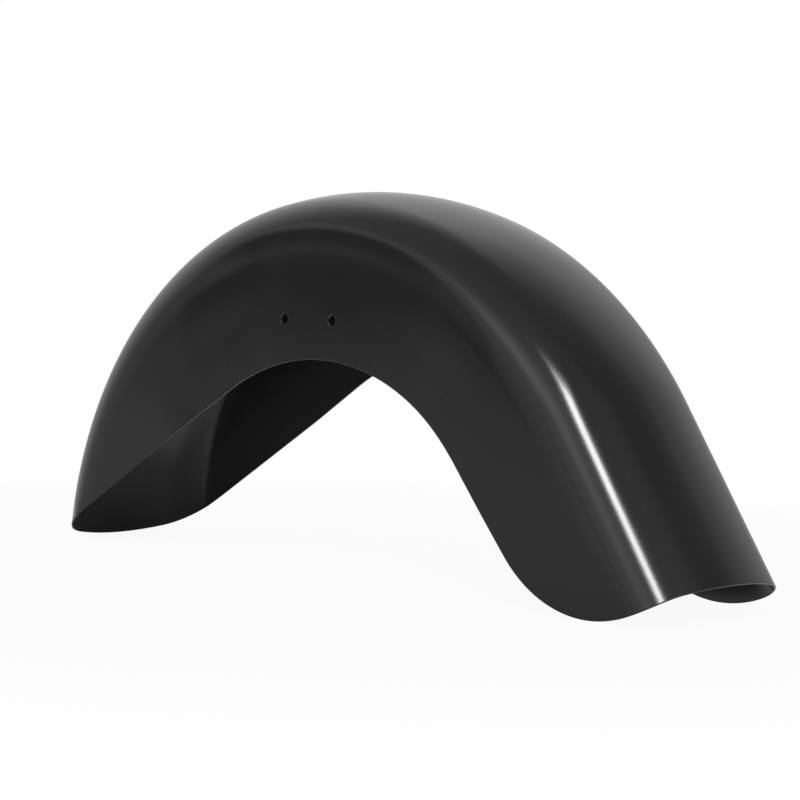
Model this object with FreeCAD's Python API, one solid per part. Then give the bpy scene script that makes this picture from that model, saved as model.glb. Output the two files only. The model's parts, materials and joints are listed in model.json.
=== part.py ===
"""Front motorcycle fender: one stamped steel sheet that wraps over the tyre.

The section is a shallow crown, rounded shoulders and two upright skirts.  It follows the tyre about the
axle line and runs straight down the tail.  A cut from the side shapes the lower edge.  Each skirt is
pressed flat beside the fork leg, where two bolts hold it.

Units are millimetres.  The model is drawn about the axle line (X to the rear, Y across, Z up) and is
then moved so that it stands on z = 0 with the origin under the middle of its outline.
"""

import FreeCAD, Part
import math
import os

from FreeCAD import Vector

# Sheet and section, all sizes on the outer face
SHEET = 1.5
HALF_WIDTH = 78.0
CROWN_ARC_RADIUS = 190.0
SHOULDER_RADIUS = 40.0

# Crown line, seen from the side
CROWN_RADIUS = 350.0
TAIL_START_ANGLE = 56.0

# Lower edge, seen from the side
REST_ABOVE_AXLE = 36.8
FRONT_EDGE_ANGLE = 30.6
ARCH_RADIUS = 210.0
REAR_EDGE_ANGLE = 49.6
LOBE_RADIUS = 109.0
LOBE_BEHIND_AXLE = 304.6
END_EDGE_ANGLE = 34.4

# Fork flats and their bolt holes
FLAT_DEPTH = 3.8
FLAT_LEAN_ANGLE = 1.0
FLAT_LENGTH = 150.0
FLAT_RUNOUT = 115.0
FLAT_BEHIND_AXLE = 12.0
HOLE_DIAMETER = 9.0
HOLE_SPACING = 57.0
HOLES_ABOVE_AXLE = 245.0
HOLES_AHEAD_OF_AXLE = 4.9

# How far cutting shapes reach past what they cut, and how near the skirts come to the axle before the cut
OVERRUN = 40.0

AXLE = Vector(0, 0, 0)
ACROSS = Vector(0, 1, 0)


def polar(angle):
    """Unit vector in the side view, at an angle in degrees from straight up, positive to the rear."""
    turn = math.radians(angle)
    return Vector(math.sin(turn), 0, math.cos(turn))


def slope(angle):
    """Unit vector to the rear that climbs at an angle in degrees."""
    turn = math.radians(angle)
    return Vector(math.cos(turn), 0, math.sin(turn))


def meet(point_a, along_a, point_b, along_b):
    """Where two lines of the side view cross."""
    gap = point_b - point_a
    cross = along_a.x * along_b.z - along_a.z * along_b.x
    return point_a + along_a * ((gap.x * along_b.z - gap.z * along_b.x) / cross)


def lower_edge():
    """Points and arc middles of the lower edge, from the front tip to the crown's rear end.

    A straight front edge leaves the tip, rounds the arch, runs down behind the wheel, rounds the lobe
    that the fender stands on and climbs straight to the end of the tail.
    """
    tip = Vector(-math.sqrt(CROWN_RADIUS**2 - REST_ABOVE_AXLE**2), 0, REST_ABOVE_AXLE)
    front = slope(FRONT_EDGE_ANGLE)
    rear = slope(-REAR_EDGE_ANGLE)
    end = slope(END_EDGE_ANGLE)

    lobe = Vector(LOBE_BEHIND_AXLE, 0, REST_ABOVE_AXLE + LOBE_RADIUS)
    lobe_start = lobe - Vector(-rear.z, 0, rear.x) * LOBE_RADIUS
    lobe_low = lobe - Vector(0, 0, LOBE_RADIUS)
    lobe_end = lobe - Vector(-end.z, 0, end.x) * LOBE_RADIUS

    corner = meet(tip, front, lobe_start, rear)
    half_turn = math.radians(FRONT_EDGE_ANGLE + REAR_EDGE_ANGLE) / 2
    setback = ARCH_RADIUS * math.tan(half_turn)
    arch_start = corner - front * setback
    arch_end = corner + rear * setback
    inward = (rear - front).normalize()
    arch_top = corner + inward * (ARCH_RADIUS / math.cos(half_turn) - ARCH_RADIUS)

    tail_out = polar(TAIL_START_ANGLE)
    tail_end = meet(lobe_end, end, tail_out * CROWN_RADIUS, slope(-TAIL_START_ANGLE))
    return {
        "tip": tip,
        "arch": (arch_start, arch_top, arch_end),
        "lobe": (lobe_start, lobe_low, lobe_end),
        "tail_end": tail_end,
    }


def tail_length(edge):
    """Length of the straight tail on the crown line."""
    return (edge["tail_end"] - polar(TAIL_START_ANGLE) * CROWN_RADIUS).Length


def section_face(inset, depth):
    """Solid section under a face that lies inset below the outer one, down to a depth below the crown.

    It stands in the plane where the tail starts: height is away from the axle, across is along Y.
    """
    out = polar(TAIL_START_ANGLE)

    def at(across, height):
        return out * (CROWN_RADIUS + height) + ACROSS * across

    crown = CROWN_ARC_RADIUS - inset
    shoulder = SHOULDER_RADIUS - inset
    half = HALF_WIDTH - inset
    turn = math.asin((half - shoulder) / (crown - shoulder))
    shoulder_across = half - shoulder
    shoulder_height = (crown - shoulder) * math.cos(turn) - crown - inset
    crown_across = crown * math.sin(turn)
    crown_height = crown * math.cos(turn) - crown - inset
    middle = (math.pi / 2 + turn) / 2

    def shoulder_arc(side):
        start = at(side * crown_across, crown_height)
        bend = at(
            side * (shoulder_across + shoulder * math.sin(middle)),
            shoulder_height + shoulder * math.cos(middle),
        )
        return Part.Arc(start, bend, at(side * half, shoulder_height))

    edges = [
        Part.LineSegment(at(-half, -depth), at(-half, shoulder_height)),
        shoulder_arc(-1),
        Part.Arc(at(-crown_across, crown_height), at(0, -inset), at(crown_across, crown_height)),
        shoulder_arc(1),
        Part.LineSegment(at(half, shoulder_height), at(half, -depth)),
        Part.LineSegment(at(half, -depth), at(-half, -depth)),
    ]
    loop = Part.sortEdges([edge.toShape() for edge in edges])[0]
    return Part.Face(Part.Wire(loop))


def swept_form(edge, inset, depth):
    """The section turned about the axle line over the wheel and run straight down the tail."""
    section = section_face(inset, depth)
    tip = edge["tip"]
    front_angle = math.degrees(math.atan2(-tip.x, tip.z)) + math.degrees(OVERRUN / CROWN_RADIUS)
    over_wheel = section.revolve(AXLE, ACROSS, -(front_angle + TAIL_START_ANGLE))
    tail = section.extrude(slope(-TAIL_START_ANGLE) * (tail_length(edge) + OVERRUN))
    return over_wheel.fuse(tail).removeSplitter()


def flat_press(side, inset):
    """Block that presses one skirt in beside the fork leg: a flat with a long run-out at each end.

    The flat leans in towards its foot, and its depth is taken at the height of the bolt holes.
    """
    lean = math.tan(math.radians(FLAT_LEAN_ANGLE))
    half_flat = FLAT_LENGTH / 2
    reach = half_flat + FLAT_RUNOUT
    face = HALF_WIDTH - FLAT_DEPTH - inset
    outside = HALF_WIDTH + OVERRUN
    runout_radius = (FLAT_RUNOUT**2 + FLAT_DEPTH**2) / (2 * FLAT_DEPTH)
    past = reach + OVERRUN

    def run_out(x):
        """Distance of the pressed face from the middle plane, at x from the flat's middle."""
        return face + runout_radius - math.sqrt(runout_radius**2 - (abs(x) - half_flat) ** 2)

    def at(x, across):
        return Vector(x + FLAT_BEHIND_AXLE, side * (across - lean * HOLES_ABOVE_AXLE), 0)

    mid = (half_flat + past) / 2
    edges = [
        Part.Arc(at(-past, run_out(past)), at(-mid, run_out(mid)), at(-half_flat, face)),
        Part.LineSegment(at(-half_flat, face), at(half_flat, face)),
        Part.Arc(at(half_flat, face), at(mid, run_out(mid)), at(past, run_out(past))),
        Part.LineSegment(at(past, run_out(past)), at(past, outside)),
        Part.LineSegment(at(past, outside), at(-past, outside)),
        Part.LineSegment(at(-past, outside), at(-past, run_out(past))),
    ]
    loop = Part.sortEdges([edge.toShape() for edge in edges])[0]
    return Part.Face(Part.Wire(loop)).extrude(Vector(0, side * lean, 1) * CROWN_RADIUS)


def pressed_form(edge, inset, depth):
    """The swept form with both fork flats pressed in."""
    form = swept_form(edge, inset, depth)
    for side in (-1, 1):
        form = form.cut(flat_press(side, inset))
    return form


def side_cut(edge):
    """Block that keeps what lies above the lower edge, right across the fender."""
    front = slope(FRONT_EDGE_ANGLE)
    end = slope(END_EDGE_ANGLE)
    above = CROWN_RADIUS + OVERRUN
    front_out = edge["tip"] - front * OVERRUN
    end_out = edge["tail_end"] + end * OVERRUN
    front_top = Vector(front_out.x, 0, above)
    end_top = Vector(end_out.x, 0, above)
    arch = edge["arch"]
    lobe = edge["lobe"]
    edges = [
        Part.LineSegment(front_out, arch[0]),
        Part.Arc(*arch),
        Part.LineSegment(arch[2], lobe[0]),
        Part.Arc(*lobe),
        Part.LineSegment(lobe[2], end_out),
        Part.LineSegment(end_out, end_top),
        Part.LineSegment(end_top, front_top),
        Part.LineSegment(front_top, front_out),
    ]
    loop = Part.sortEdges([edge.toShape() for edge in edges])[0]
    half = HALF_WIDTH + OVERRUN
    face = Part.Face(Part.Wire(loop))
    face.translate(ACROSS * -half)
    return face.extrude(ACROSS * (2 * half))


def bolt_holes():
    """Two drills that pass right through both skirts."""
    half = HALF_WIDTH + OVERRUN
    drills = []
    for x in (-HOLE_SPACING / 2, HOLE_SPACING / 2):
        start = Vector(x - HOLES_AHEAD_OF_AXLE, -half, HOLES_ABOVE_AXLE)
        drills.append(Part.makeCylinder(HOLE_DIAMETER / 2, 2 * half, start, ACROSS))
    return Part.makeCompound(drills)


def fender():
    """The whole sheet, moved to stand on z = 0 under the middle of its outline."""
    edge = lower_edge()
    outside = pressed_form(edge, 0.0, CROWN_RADIUS - OVERRUN)
    inside = pressed_form(edge, SHEET, CROWN_RADIUS - OVERRUN / 2)
    sheet = outside.cut(inside).common(side_cut(edge)).cut(bolt_holes())
    middle = (edge["tip"].x + edge["tail_end"].x) / 2
    sheet.translate(Vector(-middle, 0, -REST_ABOVE_AXLE))
    return sheet


def main():
    os.makedirs("parts", exist_ok=True)
    part = fender()
    solid = part.Solids[0]
    box = solid.optimalBoundingBox()
    print("solids", len(part.Solids), "valid", solid.isValid(), "volume", round(solid.Volume))
    print("x", round(box.XMin, 2), round(box.XMax, 2), "y", round(box.YMin, 2), round(box.YMax, 2))
    print("z", round(box.ZMin, 2), round(box.ZMax, 2), "faces", len(solid.Faces))
    solid.exportStep("parts/fender.step")


main()
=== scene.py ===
"""Looks of a black front fender for a motorcycle, pressed from one steel sheet.

The sheet is one closed surface, worked out on a grid from the fender's own sizes: a section of crown,
shoulder and skirt, carried along the crown line and trimmed by the lower edge.  Metres throughout, in the
frame's axes: X to the rear, Y across to the right, Z up.
"""

import json
import math

import bmesh
import bpy
import numpy as np
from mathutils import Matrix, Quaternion, Vector


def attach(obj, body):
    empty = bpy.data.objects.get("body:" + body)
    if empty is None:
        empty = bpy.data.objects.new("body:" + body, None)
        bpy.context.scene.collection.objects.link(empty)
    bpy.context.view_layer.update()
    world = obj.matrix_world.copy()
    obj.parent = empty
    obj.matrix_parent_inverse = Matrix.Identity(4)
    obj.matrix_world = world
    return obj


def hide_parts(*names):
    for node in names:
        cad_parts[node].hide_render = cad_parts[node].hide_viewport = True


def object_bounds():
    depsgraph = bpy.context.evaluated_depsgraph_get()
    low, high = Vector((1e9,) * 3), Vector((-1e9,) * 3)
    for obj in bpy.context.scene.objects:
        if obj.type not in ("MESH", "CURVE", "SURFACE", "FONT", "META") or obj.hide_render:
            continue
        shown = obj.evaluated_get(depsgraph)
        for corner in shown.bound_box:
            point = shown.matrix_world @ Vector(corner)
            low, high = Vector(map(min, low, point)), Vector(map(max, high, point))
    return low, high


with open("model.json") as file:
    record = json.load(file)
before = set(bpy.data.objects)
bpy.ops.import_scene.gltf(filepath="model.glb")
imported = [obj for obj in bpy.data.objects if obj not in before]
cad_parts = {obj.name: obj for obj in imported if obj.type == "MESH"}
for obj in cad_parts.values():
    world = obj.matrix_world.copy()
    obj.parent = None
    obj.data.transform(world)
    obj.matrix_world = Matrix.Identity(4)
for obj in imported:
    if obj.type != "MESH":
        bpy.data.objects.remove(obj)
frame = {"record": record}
CAD_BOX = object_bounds()
MOUNT = next(mount for mount in frame["record"]["mounts"] if mount["name"] == "left_fork_holes")

# Sheet and section, on the outer face
SHEET = 0.0015
HALF_WIDTH = CAD_BOX[1].y
CROWN_ARC = 0.190
SHOULDER = 0.040

# Crown line, seen from the side
CROWN_RADIUS = 0.350
TAIL_START = math.radians(56.0)

# Lower edge, seen from the side
REST_ABOVE_AXLE = 0.0368
FRONT_EDGE = math.radians(30.6)
ARCH_RADIUS = 0.210
REAR_EDGE = math.radians(49.6)
LOBE_RADIUS = 0.109
LOBE_BEHIND_AXLE = 0.3046
END_EDGE = math.radians(34.4)

# Fork flats: where they lie behind the axle, their depth and their run-outs
FLAT_DEPTH = 0.0036
FLAT_FRONT = -0.052
FLAT_REAR = 0.087
FLAT_RUNOUT_AHEAD = 0.110
FLAT_RUNOUT_BEHIND = 0.125

# Fine shape of the skirts, by girth from the crown's middle and by distance along the crown line
CREASE_POWER = (4.0, 9.0)
CREASE_ALONG = (-0.150, -0.070, 0.100, 0.220)
EASE_DEPTH = 0.0013
EASE_GIRTH = (0.080, 0.112)
GROOVE_DEPTH = 0.0002
GROOVE_GIRTH = (0.0830, 0.0980, 0.1090)
GROOVE_ALONG = (-0.200, -0.120, 0.080, 0.180)
LEAN = math.radians(0.60)
LEAN_LOST = 0.25
LEAN_GIRTH = (0.110, 0.130)
LEAN_ALONG = (-0.310, -0.230, 0.210, 0.310)
STEP_GIRTH = (0.122, 0.158)
STEP_AHEAD = (-0.240, -0.180, -0.130, -0.070)
STEP_BEHIND = (0.110, 0.160, 0.220, 0.280)
STEP_DEPTH = (0.00020, 0.00010)

# Bolt holes
HOLE_RADIUS = MOUNT["dims"]["hole_r_mm"] / 1000
HOLE_SPACING = MOUNT["dims"]["spacing_x_mm"] / 1000
HOLE_X = MOUNT["pos_m"][0]
HOLE_Z = MOUNT["pos_m"][2]

# Grid of the sheet: steps along half the rim, from the spine to the rim, and round the rim's half circle
RIM_STEPS = 290
RIB_STEPS = 66
ROUND_STEPS = 8
TIP_FAN = 0.045
TAIL_FAN = 0.070
HOLE_WINDOW = 0.0085
EDGE_SHARE = 0.003
EDGE_SQUARE = 0.45
HOLE_RINGS = 4
EDGE_FINE = 800
NORMAL_STEP = 2e-5
MERGE_DISTANCE = 1e-6

# Black coat: grey levels and roughness outside and inside, its clouds, its ripple and its specks of dust
COAT_TONE = (0.004, 0.007)
COAT_ROUGHNESS = (0.12, 0.15)
COAT_IOR = 1.5
# The inside's lighter grey is painted light: it stands in for the light that reaches the fender's inside.
INSIDE_PAINTED_LIGHT_TONE = 0.040
INSIDE_ROUGHNESS = 0.16
CLOUD_SCALE = 9.0
CLOUD_DETAIL = 3.0
CLOUD_RANGE = (0.3, 0.7)
RIPPLE_SCALE = 420.0
RIPPLE_DETAIL = 1.0
RIPPLE_STRENGTH = 0.04
RIPPLE_HEIGHT = 0.0004
DUST_SCALE = 60.0
DUST_REACH = (0.03, 0.015)
DUST_TONE = 0.10

# Camera at the photograph's place
CAMERA_AZIMUTH = math.radians(45.932)
CAMERA_ELEVATION = math.radians(3.303)
CAMERA_DISTANCE = 2.051
CAMERA_AIM = Vector((0.0120, 0.0, 0.1429))
CAMERA_ROLL = math.radians(0.938)
CAMERA_LENS = 112.48
SENSOR_WIDTH = 36.0

# Floor: an oval that fades out at its edge
FLOOR_SIDES = 96
FLOOR_MIDDLE = (-0.05, 0.02, 0.0)
FLOOR_REACH = (1.05, 0.90, 1.0)
FLOOR_FADE = (0.55, 1.0)
FLOOR_TONE = 0.56
FLOOR_GLOW = 0.94

# Painted light on the floor, seen only in reflections: a glow on the far floor and under the arch, left out
# over an oval that stands for the front tip's shadow
FAR_FLOOR_WAY = (0.2, 1.0, 0.0)
FAR_FLOOR_FROM = (0.04, 0.11)
FAR_FLOOR_PAINTED_GLOW = (0.03, 0.50)
TIP_SHADOW_MIDDLE = (-0.28, -0.013, 0.0)
TIP_SHADOW_REACH = (0.094, 0.118, 1.0)
TIP_SHADOW_FADE = (0.94, 1.12)
UNDER_ARCH_LENGTHWISE = ((-0.10, 0.72), (0.0, 0.0))
UNDER_ARCH_ACROSS = ((-0.15, 0.0), (-0.12, 1.0), (0.06, 1.0), (0.10, 0.0))

# Room, wall and panel: brightness by the height, side and depth of a direction, seen from the camera
ROOM_BY_HEIGHT = (
    (-1.0, 0.28), (-0.14, 0.43), (-0.07, 0.55), (-0.055, 0.53), (-0.042, 0.19), (-0.03, 0.11), (-0.018, 0.07),
    (-0.005, 0.13), (0.015, 0.29), (0.04, 0.40), (0.09, 0.54), (0.17, 0.74), (0.35, 0.72), (0.60, 0.52),
    (1.0, 0.50))
ROOM_BY_SIDE = ((-1.0, 1.0), (1.0, 0.46))
WALL_BY_HEIGHT = ((-0.150, 0.0), (-0.095, 0.92), (0.13, 0.92), (0.25, 1.0), (0.72, 1.0), (0.97, 0.6))
WALL_BY_DEPTH = (
    (-0.20, 0.72), (-0.08, 0.54), (-0.04, 0.08), (0.08, 0.08), (0.13, 0.27), (0.16, 0.44), (0.24, 0.49),
    (0.30, 0.68), (0.50, 0.90), (0.62, 1.0), (0.78, 0.90), (0.92, 0.72))
WALL_BY_SIDE = (
    (-0.98, 1.12), (-0.90, 0.88), (-0.70, 0.80), (-0.45, 0.88), (-0.25, 1.0), (0.15, 1.0), (0.30, 0.83),
    (0.60, 0.80), (0.85, 0.62))
PANEL_BY_HEIGHT = (
    (-0.02, 0.0), (0.15, 0.14), (0.28, 0.20), (0.35, 0.40), (0.42, 0.95), (0.48, 1.0), (0.55, 0.62),
    (0.62, 0.34), (0.70, 0.08), (0.78, 0.0))
PANEL_BY_DEPTH = (
    (-0.85, 0.25), (-0.72, 1.30), (-0.55, 1.35), (-0.44, 1.15), (-0.37, 0.92), (-0.31, 0.60), (-0.24, 0.36),
    (-0.08, 0.0))

# Soft lights: name, swing and height in degrees, distance, width, height and brightness
LIGHT_AIM = Vector((0.20, 0.0, 0.20))
SOFTBOXES = (
    ("key_softbox", -3.0, 40.8, 2.6, 0.40, 0.78, 16.5),
    ("key_diffuser", -3.0, 41.5, 2.7, 0.66, 1.12, 5.5),
    ("key_spill", -3.0, 42.5, 2.8, 1.00, 1.40, 1.6),
)

# Worked out from the sizes above
AXLE_X = CAD_BOX[0].x + math.sqrt(CROWN_RADIUS**2 - REST_ABOVE_AXLE**2)
CROWN_TURN = math.asin((HALF_WIDTH - SHOULDER) / (CROWN_ARC - SHOULDER))
CROWN_GIRTH = CROWN_ARC * CROWN_TURN
SKIRT_GIRTH = CROWN_GIRTH + SHOULDER * (math.pi / 2 - CROWN_TURN)
SHOULDER_DROP = CROWN_ARC * (1 - math.cos(CROWN_TURN))
SKIRT_DROP = SHOULDER_DROP + SHOULDER * math.cos(CROWN_TURN)
TAIL_OUT = np.array([math.sin(TAIL_START), math.cos(TAIL_START)])
TAIL_ALONG = np.array([math.cos(TAIL_START), -math.sin(TAIL_START)])


def slope(angle):
    """Unit vector of the side view that runs to the rear and climbs at an angle."""
    return np.array([math.cos(angle), math.sin(angle)])


def left_of(way):
    """A side-view direction turned a quarter to its left."""
    return np.array([-way[1], way[0]])


def meet(point_a, way_a, point_b, way_b):
    """Where two lines of the side view cross."""
    share = np.linalg.solve(np.column_stack([way_a, -way_b]), point_b - point_a)
    return point_a + way_a * share[0]


def stretch(start, end, count):
    """Points from start up to, but not at, end, crowded towards the start."""
    share = np.linspace(0, 1, count, endpoint=False) ** 2
    return start + (end - start) * share[:, None]


def arc(centre, radius, first, last, count):
    """Points on an arc, from one direction angle to another."""
    turn = np.linspace(first, last, count, endpoint=False)
    return centre + radius * np.column_stack([np.cos(turn), np.sin(turn)])


def lower_edge(inset):
    """Side view of the lower edge about the axle, drawn in by an inset, from the front tip to the tail's end.

    A line from the tip, the arch, a line down behind the wheel, the lobe, and a line up to the tail's crown.
    """
    front, rear, end = slope(FRONT_EDGE), slope(-REAR_EDGE), slope(END_EDGE)
    tip = np.array([-math.sqrt(CROWN_RADIUS**2 - REST_ABOVE_AXLE**2), REST_ABOVE_AXLE])
    tip = tip + left_of(front) * inset
    crown_share = -tip @ front - math.sqrt((tip @ front) ** 2 - tip @ tip + CROWN_RADIUS**2)
    tip = tip + front * crown_share
    lobe = np.array([LOBE_BEHIND_AXLE, REST_ABOVE_AXLE + LOBE_RADIUS])
    lobe_radius = LOBE_RADIUS - inset
    arch_radius = ARCH_RADIUS + inset
    lobe_start = lobe - left_of(rear) * lobe_radius
    lobe_end = lobe - left_of(end) * lobe_radius
    corner = meet(tip, front, lobe_start, rear)
    setback = arch_radius * math.tan((FRONT_EDGE + REAR_EDGE) / 2)
    arch_start = corner - front * setback
    arch_centre = arch_start - left_of(front) * arch_radius
    tail_end = meet(lobe_end, end, TAIL_OUT * CROWN_RADIUS, TAIL_ALONG)
    return np.concatenate([
        stretch(tip, arch_start, EDGE_FINE),
        arc(arch_centre, arch_radius, math.pi / 2 + FRONT_EDGE, math.pi / 2 - REAR_EDGE, EDGE_FINE),
        stretch(corner + rear * setback, lobe_start, EDGE_FINE),
        arc(lobe, lobe_radius, -math.pi / 2 - REAR_EDGE, -math.pi / 2 + END_EDGE, EDGE_FINE),
        stretch(tail_end, lobe_end, EDGE_FINE)[::-1],
    ])


def unroll(side):
    """Distance along the crown line and girth from the crown's middle, of side-view points about the axle."""
    behind = side @ TAIL_ALONG
    on_tail = behind > 0
    angle = np.arctan2(side[:, 0], side[:, 1])
    along = np.where(on_tail, CROWN_RADIUS * TAIL_START + behind, CROWN_RADIUS * angle)
    reach = np.where(on_tail, side @ TAIL_OUT, np.hypot(side[:, 0], side[:, 1]))
    drop = np.clip(CROWN_RADIUS - reach, 0, None)
    crown = CROWN_ARC * np.arccos(np.clip(1 - drop / CROWN_ARC, -1, 1))
    shoulder_turn = np.arccos(np.clip(math.cos(CROWN_TURN) - (drop - SHOULDER_DROP) / SHOULDER, 0, 1))
    shoulder = CROWN_GIRTH + SHOULDER * (shoulder_turn - CROWN_TURN)
    skirt = SKIRT_GIRTH + drop - SKIRT_DROP
    girth = np.where(drop < SHOULDER_DROP, crown, np.where(drop < SKIRT_DROP, shoulder, skirt))
    return along, girth


def rise(value, start, end):
    """Smooth rise from 0 to 1 between start and end."""
    share = np.clip((value - start) / (end - start), 0, 1)
    return share * share * (3 - 2 * share)


def within(value, start, full, last, end):
    """Smooth rise from 0 to 1 between start and full, and fall back to 0 between last and end."""
    return rise(value, start, full) * (1 - rise(value, last, end))


def outer_face(along, girth):
    """Points of the outer face, from the distance along the crown line and the signed girth across it.

    The section is a crown arc, a shoulder arc tangent to it and an upright skirt.  It turns about the axle
    and then runs straight.  Beside the fork legs the skirt is pressed in: how far a point lies in from the
    full width is the blend (a^n + b^n)^(1/n) of the shoulder's own fall a and the press b, which rounds the
    crease between them.  The press fades out as (1 - s^2)^2 over a run-out at each end, and a shallow groove
    deepens it under the crease and steps back out below.  Past the crease n is smaller and the shoulder eases
    into the skirt over a longer way.  Lower down the skirt leans in a little, least of all on the flat, and
    has a faint step inwards ahead of the flat and behind it.
    """
    reach = np.abs(girth)
    crown_turn = np.minimum(reach, CROWN_GIRTH) / CROWN_ARC
    shoulder_turn = CROWN_TURN + np.clip(reach - CROWN_GIRTH, 0, SKIRT_GIRTH - CROWN_GIRTH) / SHOULDER
    across = CROWN_ARC * np.sin(crown_turn) + SHOULDER * (np.sin(shoulder_turn) - math.sin(CROWN_TURN))
    drop = CROWN_ARC * (1 - np.cos(crown_turn)) + SHOULDER * (math.cos(CROWN_TURN) - np.cos(shoulder_turn))
    drop = drop + np.maximum(reach - SKIRT_GIRTH, 0)

    angle = np.minimum(along / CROWN_RADIUS, TAIL_START)
    run = np.maximum(along - CROWN_RADIUS * TAIL_START, 0)
    x = (CROWN_RADIUS - drop) * np.sin(angle) + run * np.cos(angle)
    z = (CROWN_RADIUS - drop) * np.cos(angle) - run * np.sin(angle)

    past_flat = np.maximum((FLAT_FRONT - x) / FLAT_RUNOUT_AHEAD, (x - FLAT_REAR) / FLAT_RUNOUT_BEHIND)
    past_flat = np.clip(past_flat, 0, 1)
    beside_fork = (1 - past_flat**2) ** 2
    top, bottom, foot = GROOVE_GIRTH
    groove = GROOVE_DEPTH * within(along, *GROOVE_ALONG) * (1 + rise(reach, top, bottom)) / 2
    groove = groove * (1 - rise(reach, bottom, foot))
    creased = within(along, *CREASE_ALONG)
    ease = EASE_DEPTH * (1 - creased) * (1 - rise(reach, *EASE_GIRTH))
    press = FLAT_DEPTH * beside_fork + groove + ease
    fall = np.maximum(HALF_WIDTH - across, 0)
    soft, sharp = CREASE_POWER
    power = soft + (sharp - soft) * creased
    inward = (fall**power + press**power) ** (1 / power)
    start, full = LEAN_GIRTH
    below = np.clip(reach - start, 0, full - start)
    lean = below**2 / (2 * (full - start)) + np.maximum(reach - full, 0)
    lean = math.tan(LEAN) * within(along, *LEAN_ALONG) * (1 - LEAN_LOST * beside_fork) * lean
    step = STEP_DEPTH[0] * within(along, *STEP_AHEAD) + STEP_DEPTH[1] * within(along, *STEP_BEHIND)
    step = step * rise(reach, *STEP_GIRTH)
    y = np.sign(girth) * (HALF_WIDTH - inward - lean - step)
    return np.stack([x, y, z], axis=-1)


def unit(vectors):
    """Vectors brought to length one."""
    return vectors / np.linalg.norm(vectors, axis=-1, keepdims=True)


def facing(along, girth):
    """Outward unit normals of the outer face, from differences of nearby points."""
    lengthwise = outer_face(along + NORMAL_STEP, girth) - outer_face(along - NORMAL_STEP, girth)
    crosswise = outer_face(along, girth + NORMAL_STEP) - outer_face(along, girth - NORMAL_STEP)
    return unit(np.cross(lengthwise, crosswise))


def rim_round(along, girth, outward):
    """Squarish half round of the sheet's edge, from outer to inner face, about the rim of the mid sheet.

    Each point is the rim's own plus half the thickness times c along the normal and s outwards, where c and s
    are the cosine and sine of an even turn, raised to a power below one.
    """
    normal = facing(along, girth)
    middle = outer_face(along, girth) - normal * SHEET / 2
    turn = np.linspace(0, math.pi, ROUND_STEPS + 1)[1:-1, None, None]
    upward = np.sign(np.cos(turn)) * np.abs(np.cos(turn)) ** EDGE_SQUARE
    return middle + SHEET / 2 * (normal * upward + outward * np.sin(turn) ** EDGE_SQUARE)


def sheet_rows(along, girth):
    """Rows of points over the sheet, out along the outer face, round the rim and back along the inner face.

    The unrolled rows run from inside the sheet to its rim, and their columns round the rim with the sheet on
    the left.  The inner face lies one sheet thickness under the outer one.
    """
    outer = outer_face(along, girth)
    normal = facing(along, girth)
    forward = np.roll(outer[-1], -1, axis=0) - np.roll(outer[-1], 1, axis=0)
    outward = unit(np.cross(forward, normal[-1]))
    rounds = rim_round(along[-1], girth[-1], outward)
    inner = (outer - normal * SHEET)[::-1]
    return np.concatenate([outer, rounds, inner])


def grid_faces(columns, keep, first):
    """Quads of a grid whose columns close on themselves, where keep is true, numbered from first."""
    row, column = np.nonzero(keep)
    beside = (column + 1) % columns
    corners = [row * columns + column, (row + 1) * columns + column, (row + 1) * columns + beside,
               row * columns + beside]
    return first + np.column_stack(corners)


def inner_share(rows, columns):
    """0 on the rows of the outer face, 1 on those of the inner face, and an even change round the rim."""
    middle = (rows - 1) / 2
    share = np.clip((np.arange(rows) - middle) / ROUND_STEPS + 0.5, 0, 1)
    return np.repeat(share, columns)


def rim_line():
    """Unrolled rim of half the fender, from the tip to the tail's end, at even steps of true length."""
    along, girth = unroll(lower_edge(SHEET / 2))
    points = outer_face(along, girth)
    length = np.concatenate([[0], np.cumsum(np.linalg.norm(np.diff(points, axis=0), axis=1))])
    even = np.linspace(0, length[-1], RIM_STEPS + 1)
    return np.interp(even, length, along), np.interp(even, length, girth)


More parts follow.
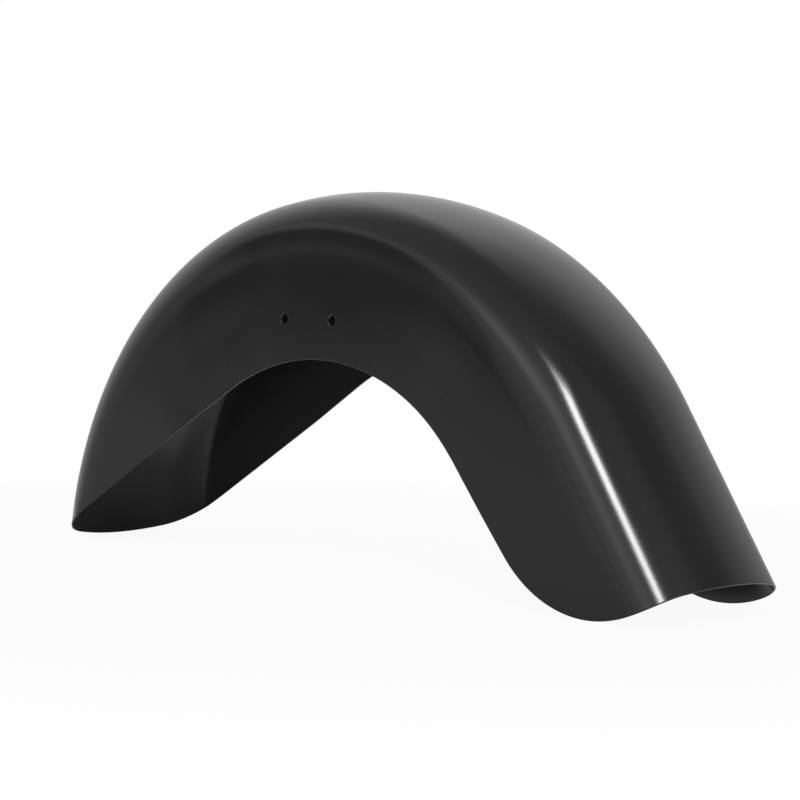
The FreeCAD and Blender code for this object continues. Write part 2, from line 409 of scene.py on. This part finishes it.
def fender_mesh():
    """Vertices and faces of the whole sheet, and which vertices lie on its inner face.

    Rays run from a spine on the crown's middle to the rim, square to the spine along most of it and fanning
    out at its two ends.  Each bolt hole is a window of the grid, filled by rings that pass from the window to
    a circle.
    """
    rim_along, rim_girth = rim_line()
    rim_girth[[0, -1]] = 0
    foot = np.clip(rim_along, rim_along[0] + TIP_FAN, rim_along[-1] - TAIL_FAN)
    share = np.concatenate([np.linspace(0, 1 - EDGE_SHARE, RIB_STEPS), [1]])[:, None]
    half_along = foot + (rim_along - foot) * share
    half_girth = rim_girth * share

    along = np.concatenate([half_along, half_along[:, -2:0:-1]], axis=1)
    girth = np.concatenate([-half_girth, half_girth[:, -2:0:-1]], axis=1)
    points = sheet_rows(along, girth)
    rows, columns = points.shape[:2]
    keep = np.ones((rows - 1, columns), bool)
    sheets = [points.reshape(-1, 3)]
    inside = [inner_share(rows, columns)]
    faces = []
    count = rows * columns

    for side in (-1, 1):
        for step in (-0.5, 0.5):
            centre = np.array([HOLE_X - AXLE_X + step * HOLE_SPACING, HOLE_Z + REST_ABOVE_AXLE])
            hole_along, hole_girth = (value[0] for value in unroll(centre[None]))
            near = np.nonzero(np.abs(foot - hole_along) < HOLE_WINDOW)[0]
            middle = near[len(near) // 2]
            level = np.nonzero(np.abs(half_girth[:, middle] - hole_girth) < HOLE_WINDOW)[0]
            low, high, left, right = level[0], level[-1], near[0], near[-1]
            first = left if side < 0 else columns - right
            keep[low:high, first:first + right - left] = False
            keep[rows - 1 - high:rows - 1 - low, first:first + right - left] = False

            row = np.concatenate([np.full(right - left, low), np.arange(low, high),
                                  np.full(right - left, high), np.arange(high, low, -1)])
            column = np.concatenate([np.arange(left, right), np.full(high - low, right),
                                     np.arange(right, left, -1), np.full(high - low, left)])
            turn = slice(None, None, -side)
            window_along = half_along[row, column][turn]
            window_girth = half_girth[row, column][turn]
            window = outer_face(window_along, window_girth)[:, [0, 2]]
            circle = centre + (HOLE_RADIUS + SHEET / 2) * unit(window - centre)
            circle_along, circle_girth = unroll(circle)
            ring = np.linspace(0, 1, HOLE_RINGS + 1)[:, None]
            patch = sheet_rows(window_along + (circle_along - window_along) * ring,
                               side * (window_girth + (circle_girth - window_girth) * ring))
            patch_rows, patch_columns = patch.shape[:2]
            whole = np.ones((patch_rows - 1, patch_columns), bool)
            faces.append(grid_faces(patch_columns, whole, count))
            sheets.append(patch.reshape(-1, 3))
            inside.append(inner_share(patch_rows, patch_columns))
            count += patch_rows * patch_columns

    faces.append(grid_faces(columns, keep, 0))
    vertices = np.concatenate(sheets) + np.array([AXLE_X, 0, -REST_ABOVE_AXLE])
    return vertices, np.concatenate(faces), np.concatenate(inside)


def make_fender():
    """The fender's sheet as one closed, smooth-shaded piece, its doubled points merged."""
    vertices, faces, inside = fender_mesh()
    mesh = bpy.data.meshes.new("fender_sheet")
    mesh.from_pydata(vertices, [], faces)
    mesh.attributes.new("inside", "FLOAT", "POINT").data.foreach_set("value", inside)
    work = bmesh.new()
    work.from_mesh(mesh)
    bmesh.ops.remove_doubles(work, verts=work.verts, dist=MERGE_DISTANCE)
    work.to_mesh(mesh)
    work.free()
    mesh.shade_smooth()
    piece = bpy.data.objects.new("fender_sheet", mesh)
    bpy.context.scene.collection.objects.link(piece)
    return piece


def nodes_of(tree, *kinds):
    """New nodes of these kinds in a node tree."""
    return [tree.nodes.new(kind) for kind in kinds]


def grey(level):
    """Colour of a plain grey."""
    return (level, level, level, 1.0)


def coat_texture():
    """Group that gives the paint's faint unevenness: colour, roughness and the height of its ripple, and on
    the inside a lighter grey that is painted light.
    """
    group = bpy.data.node_groups.new("Coat unevenness", "ShaderNodeTree")
    sockets = group.interface
    sockets.new_socket("Vector", in_out="INPUT", socket_type="NodeSocketVector")
    sockets.new_socket("Inside", in_out="INPUT", socket_type="NodeSocketFloat")
    sockets.new_socket("Color", in_out="OUTPUT", socket_type="NodeSocketColor")
    sockets.new_socket("Roughness", in_out="OUTPUT", socket_type="NodeSocketFloat")
    sockets.new_socket("Height", in_out="OUTPUT", socket_type="NodeSocketFloat")
    source, target, cloud, ripple, speck, tone, sheen, dust, mix, matt, dull = nodes_of(
        group, "NodeGroupInput", "NodeGroupOutput", "ShaderNodeTexNoise", "ShaderNodeTexNoise",
        "ShaderNodeTexVoronoi", "ShaderNodeMapRange", "ShaderNodeMapRange", "ShaderNodeMapRange",
        "ShaderNodeMix", "ShaderNodeMix", "ShaderNodeMix")
    link = group.links.new
    for texture in (cloud, ripple, speck):
        link(source.outputs["Vector"], texture.inputs["Vector"])
    cloud.inputs["Scale"].default_value = CLOUD_SCALE
    cloud.inputs["Detail"].default_value = CLOUD_DETAIL
    ripple.inputs["Scale"].default_value = RIPPLE_SCALE
    ripple.inputs["Detail"].default_value = RIPPLE_DETAIL
    speck.inputs["Scale"].default_value = DUST_SCALE
    link(cloud.outputs["Fac"], tone.inputs["Value"])
    tone.inputs["To Min"].default_value, tone.inputs["To Max"].default_value = COAT_TONE
    link(cloud.outputs["Fac"], sheen.inputs["Value"])
    sheen.inputs["From Min"].default_value, sheen.inputs["From Max"].default_value = CLOUD_RANGE
    sheen.inputs["To Min"].default_value, sheen.inputs["To Max"].default_value = COAT_ROUGHNESS
    link(speck.outputs["Distance"], dust.inputs["Value"])
    dust.inputs["From Min"].default_value, dust.inputs["From Max"].default_value = DUST_REACH
    mix.data_type = "RGBA"
    link(dust.outputs["Result"], mix.inputs["Factor"])
    link(tone.outputs["Result"], mix.inputs["A"])
    mix.inputs["B"].default_value = grey(DUST_TONE)
    # Inside faces get a lighter grey: painted light, standing in for the light that reaches the inside.
    matt.data_type = "RGBA"
    link(source.outputs["Inside"], matt.inputs["Factor"])
    link(mix.outputs["Result"], matt.inputs["A"])
    matt.inputs["B"].default_value = grey(INSIDE_PAINTED_LIGHT_TONE)
    link(source.outputs["Inside"], dull.inputs["Factor"])
    link(sheen.outputs["Result"], dull.inputs["A"])
    dull.inputs["B"].default_value = INSIDE_ROUGHNESS
    link(matt.outputs["Result"], target.inputs["Color"])
    link(dull.outputs["Result"], target.inputs["Roughness"])
    link(ripple.outputs["Fac"], target.inputs["Height"])
    return group


def black_coat():
    """Semi-gloss black paint, faintly rippled, with a few specks of dust, duller on the inside, where a
    lighter grey is painted light.
    """
    paint = bpy.data.materials.new("black_coat_paint")
    paint.use_nodes = True
    tree = paint.node_tree
    shader = tree.nodes["Principled BSDF"]
    place, side, texture, bump = nodes_of(
        tree, "ShaderNodeTexCoord", "ShaderNodeAttribute", "ShaderNodeGroup", "ShaderNodeBump")
    texture.node_tree = coat_texture()
    side.attribute_name = "inside"
    link = tree.links.new
    link(side.outputs["Fac"], texture.inputs["Inside"])
    link(place.outputs["Object"], texture.inputs["Vector"])
    link(texture.outputs["Color"], shader.inputs["Base Color"])
    link(texture.outputs["Roughness"], shader.inputs["Roughness"])
    link(texture.outputs["Height"], bump.inputs["Height"])
    bump.inputs["Strength"].default_value = RIPPLE_STRENGTH
    bump.inputs["Distance"].default_value = RIPPLE_HEIGHT
    link(bump.outputs["Normal"], shader.inputs["Normal"])
    shader.inputs["IOR"].default_value = COAT_IOR
    return paint


def level_ramp(tree, source, levels):
    """Brightness that follows a value between -1 and 1, by stops of value and level."""
    raised, ramp = nodes_of(tree, "ShaderNodeMapRange", "ShaderNodeValToRGB")
    raised.inputs["From Min"].default_value = -1.0
    tree.links.new(source, raised.inputs["Value"])
    tree.links.new(raised.outputs["Result"], ramp.inputs["Fac"])
    stops = ramp.color_ramp.elements
    for _ in range(len(levels) - 2):
        stops.new(0.5)
    for stop, (value, level) in zip(stops, levels):
        stop.position = (value + 1) / 2
        stop.color = grey(level)
    return ramp.outputs["Color"]


def smooth_ramp(tree, source, span, levels=(0.0, 1.0)):
    """Smooth change from one level to another while a value crosses a span."""
    ramp = tree.nodes.new("ShaderNodeMapRange")
    ramp.interpolation_type = "SMOOTHSTEP"
    ramp.inputs["From Min"].default_value, ramp.inputs["From Max"].default_value = span
    ramp.inputs["To Min"].default_value, ramp.inputs["To Max"].default_value = levels
    tree.links.new(source, ramp.inputs["Value"])
    return ramp.outputs["Result"]


def oval_distance(tree, place, middle, reach):
    """Distance of a place from an oval's middle, counted in the oval's own reach each way."""
    offset, spread, away = nodes_of(tree, *["ShaderNodeVectorMath"] * 3)
    offset.operation = "SUBTRACT"
    offset.inputs[1].default_value = middle
    spread.operation = "DIVIDE"
    spread.inputs[1].default_value = reach
    away.operation = "LENGTH"
    tree.links.new(place, offset.inputs[0])
    tree.links.new(offset.outputs["Vector"], spread.inputs[0])
    tree.links.new(spread.outputs["Vector"], away.inputs[0])
    return away.outputs["Value"]


def along_way(tree, place, way):
    """How far a place lies along a way."""
    node = tree.nodes.new("ShaderNodeVectorMath")
    node.operation = "DOT_PRODUCT"
    node.inputs[1].default_value = way
    tree.links.new(place, node.inputs[0])
    return node.outputs["Value"]


def combine(tree, operation, first, second):
    """Value of two sources joined by a math operation, the second of which may be a plain number."""
    node = tree.nodes.new("ShaderNodeMath")
    node.operation = operation
    tree.links.new(first, node.inputs[0])
    if isinstance(second, float):
        node.inputs[1].default_value = second
    else:
        tree.links.new(second, node.inputs[1])
    return node.outputs["Value"]


def pale_floor():
    """Matt pale floor that the camera sees as nearly white and that fades out towards its edge.

    Reflections see painted light on it: a glow behind the fender and under the arch, left out over an oval
    that stands for the shadow of the front tip.
    """
    material = bpy.data.materials.new("pale_floor")
    material.use_nodes = True
    tree = material.node_tree
    tree.nodes.clear()
    output, edge, mix, clear, matt, glow, path, spot, parts = nodes_of(
        tree, "ShaderNodeOutputMaterial", "ShaderNodeMixShader", "ShaderNodeMixShader",
        "ShaderNodeBsdfTransparent", "ShaderNodeBsdfDiffuse", "ShaderNodeEmission", "ShaderNodeLightPath",
        "ShaderNodeTexCoord", "ShaderNodeSeparateXYZ")
    link = tree.links.new
    place = spot.outputs["Object"]
    link(place, parts.inputs["Vector"])
    matt.inputs["Color"].default_value = grey(FLOOR_TONE)
    glow.inputs["Color"].default_value = grey(1.0)

    # Painted light, seen only in reflections: a glow on the far floor and under the arch, left out over the
    # front tip's painted shadow.
    painted_light_far_floor = smooth_ramp(tree, along_way(tree, place, FAR_FLOOR_WAY), FAR_FLOOR_FROM, FAR_FLOOR_PAINTED_GLOW)
    past_tip = oval_distance(tree, place, TIP_SHADOW_MIDDLE, TIP_SHADOW_REACH)
    painted_light_under_arch = combine(tree, "MULTIPLY", level_ramp(tree, parts.outputs["X"], UNDER_ARCH_LENGTHWISE),
                         level_ramp(tree, parts.outputs["Y"], UNDER_ARCH_ACROSS))
    painted_light_under_arch = combine(tree, "MULTIPLY", painted_light_under_arch, smooth_ramp(tree, past_tip, TIP_SHADOW_FADE))
    painted_light_in_reflections = combine(tree, "MULTIPLY", path.outputs["Is Glossy Ray"],
                       combine(tree, "MAXIMUM", painted_light_far_floor, painted_light_under_arch))
    seen = combine(tree, "MAXIMUM", path.outputs["Is Camera Ray"], path.outputs["Is Transmission Ray"])
    bright = combine(tree, "MULTIPLY", seen, FLOOR_GLOW)
    link(combine(tree, "MAXIMUM", bright, painted_light_in_reflections), mix.inputs["Fac"])
    link(matt.outputs["BSDF"], mix.inputs[1])
    link(glow.outputs["Emission"], mix.inputs[2])

    from_middle = oval_distance(tree, place, (0.0, 0.0, 0.0), FLOOR_REACH)
    link(smooth_ramp(tree, from_middle, FLOOR_FADE), edge.inputs["Fac"])
    link(mix.outputs["Shader"], edge.inputs[1])
    link(clear.outputs["BSDF"], edge.inputs[2])
    link(edge.outputs["Shader"], output.inputs["Surface"])
    return material


def make_floor():
    """Oval floor under and behind the fender, which keeps its soft shadow, in front of a white background."""
    turn = np.linspace(0, 2 * math.pi, FLOOR_SIDES, endpoint=False)
    ring = np.column_stack([np.cos(turn), np.sin(turn), np.zeros(FLOOR_SIDES)])
    mesh = bpy.data.meshes.new("floor")
    mesh.from_pydata(ring * FLOOR_REACH, [], [np.arange(FLOOR_SIDES)])
    floor = bpy.data.objects.new("floor", mesh)
    floor.location = FLOOR_MIDDLE
    bpy.context.scene.collection.objects.link(floor)
    mesh.materials.append(pale_floor())


def make_room():
    """White background, and round it for reflections a grey room, a pale wall and a soft panel.

    The wall stands to the left and behind, and the panel hangs high on the camera's side.  The brightness of
    each is a product of ramps over the direction.  The brighter of room and wall shows, plus the panel.
    """
    world = bpy.data.worlds.new("studio")
    bpy.context.scene.world = world
    world.use_nodes = True
    tree = world.node_tree
    tree.nodes.clear()
    output, choose, white, room, path, sky, parts = nodes_of(
        tree, "ShaderNodeOutputWorld", "ShaderNodeMixShader", "ShaderNodeBackground", "ShaderNodeBackground",
        "ShaderNodeLightPath", "ShaderNodeTexCoord", "ShaderNodeSeparateXYZ")
    link = tree.links.new
    place = sky.outputs["Generated"]
    link(place, parts.inputs["Vector"])
    height = parts.outputs["Z"]
    side = along_way(tree, place, camera_right())
    depth = along_way(tree, place, -camera_back())

    level = combine(tree, "MULTIPLY", level_ramp(tree, height, ROOM_BY_HEIGHT),
                    level_ramp(tree, side, ROOM_BY_SIDE))
    wall = combine(tree, "MULTIPLY", level_ramp(tree, height, WALL_BY_HEIGHT),
                   level_ramp(tree, depth, WALL_BY_DEPTH))
    wall = combine(tree, "MULTIPLY", wall, level_ramp(tree, side, WALL_BY_SIDE))
    panel = combine(tree, "MULTIPLY", level_ramp(tree, height, PANEL_BY_HEIGHT),
                    level_ramp(tree, depth, PANEL_BY_DEPTH))
    level = combine(tree, "ADD", combine(tree, "MAXIMUM", level, wall), panel)
    link(level, room.inputs["Strength"])
    room.inputs["Color"].default_value = grey(1.0)
    white.inputs["Color"].default_value = grey(1.0)
    seen = combine(tree, "MAXIMUM", path.outputs["Is Camera Ray"], path.outputs["Is Transmission Ray"])
    link(seen, choose.inputs["Fac"])
    link(room.outputs["Background"], choose.inputs[1])
    link(white.outputs["Background"], choose.inputs[2])
    link(choose.outputs["Shader"], output.inputs["Surface"])


def camera_right():
    """Unit vector to the camera's right."""
    return Vector((math.cos(CAMERA_AZIMUTH), math.sin(CAMERA_AZIMUTH), 0.0))


def camera_back():
    """Unit vector from the aim towards the camera."""
    level = math.cos(CAMERA_ELEVATION)
    return Vector((math.sin(CAMERA_AZIMUTH) * level, -math.cos(CAMERA_AZIMUTH) * level,
                   math.sin(CAMERA_ELEVATION)))


def make_camera():
    """Camera at the photograph's place, roll and lens."""
    camera = bpy.data.objects.new("camera", bpy.data.cameras.new("camera"))
    bpy.context.scene.collection.objects.link(camera)
    back = camera_back()
    camera.location = CAMERA_AIM + back * CAMERA_DISTANCE
    camera.rotation_mode = "QUATERNION"
    camera.rotation_quaternion = back.to_track_quat("Z", "Y") @ Quaternion((0, 0, 1), CAMERA_ROLL)
    camera.data.lens = CAMERA_LENS
    camera.data.sensor_width = SENSOR_WIDTH
    bpy.context.scene.camera = camera


def make_softbox(name, swing, height, distance, width, tall, level):
    """Soft light aimed at the fender, by its swing from the camera's side, height, distance, size and level.

    Swing and height are in degrees.  The energy is the level times pi times the area.
    """
    lamp = bpy.data.lights.new(name, "AREA")
    lamp.shape = "RECTANGLE"
    lamp.size = width
    lamp.size_y = tall
    lamp.energy = level * math.pi * width * tall
    turn = CAMERA_AZIMUTH - math.pi / 2 + math.radians(swing)
    up = math.radians(height)
    way = Vector((math.cos(turn) * math.cos(up), math.sin(turn) * math.cos(up), math.sin(up)))
    box = bpy.data.objects.new(name, lamp)
    box.location = LIGHT_AIM + way * distance
    box.rotation_mode = "QUATERNION"
    box.rotation_quaternion = way.to_track_quat("Z", "Y")
    bpy.context.scene.collection.objects.link(box)


fender = make_fender()
fender.data.materials.append(black_coat())
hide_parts("fender")
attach(fender, "root")

make_floor()
make_room()
make_camera()
for softbox in SOFTBOXES:
    make_softbox(*softbox)

bpy.context.scene.view_settings.view_transform = "Standard"
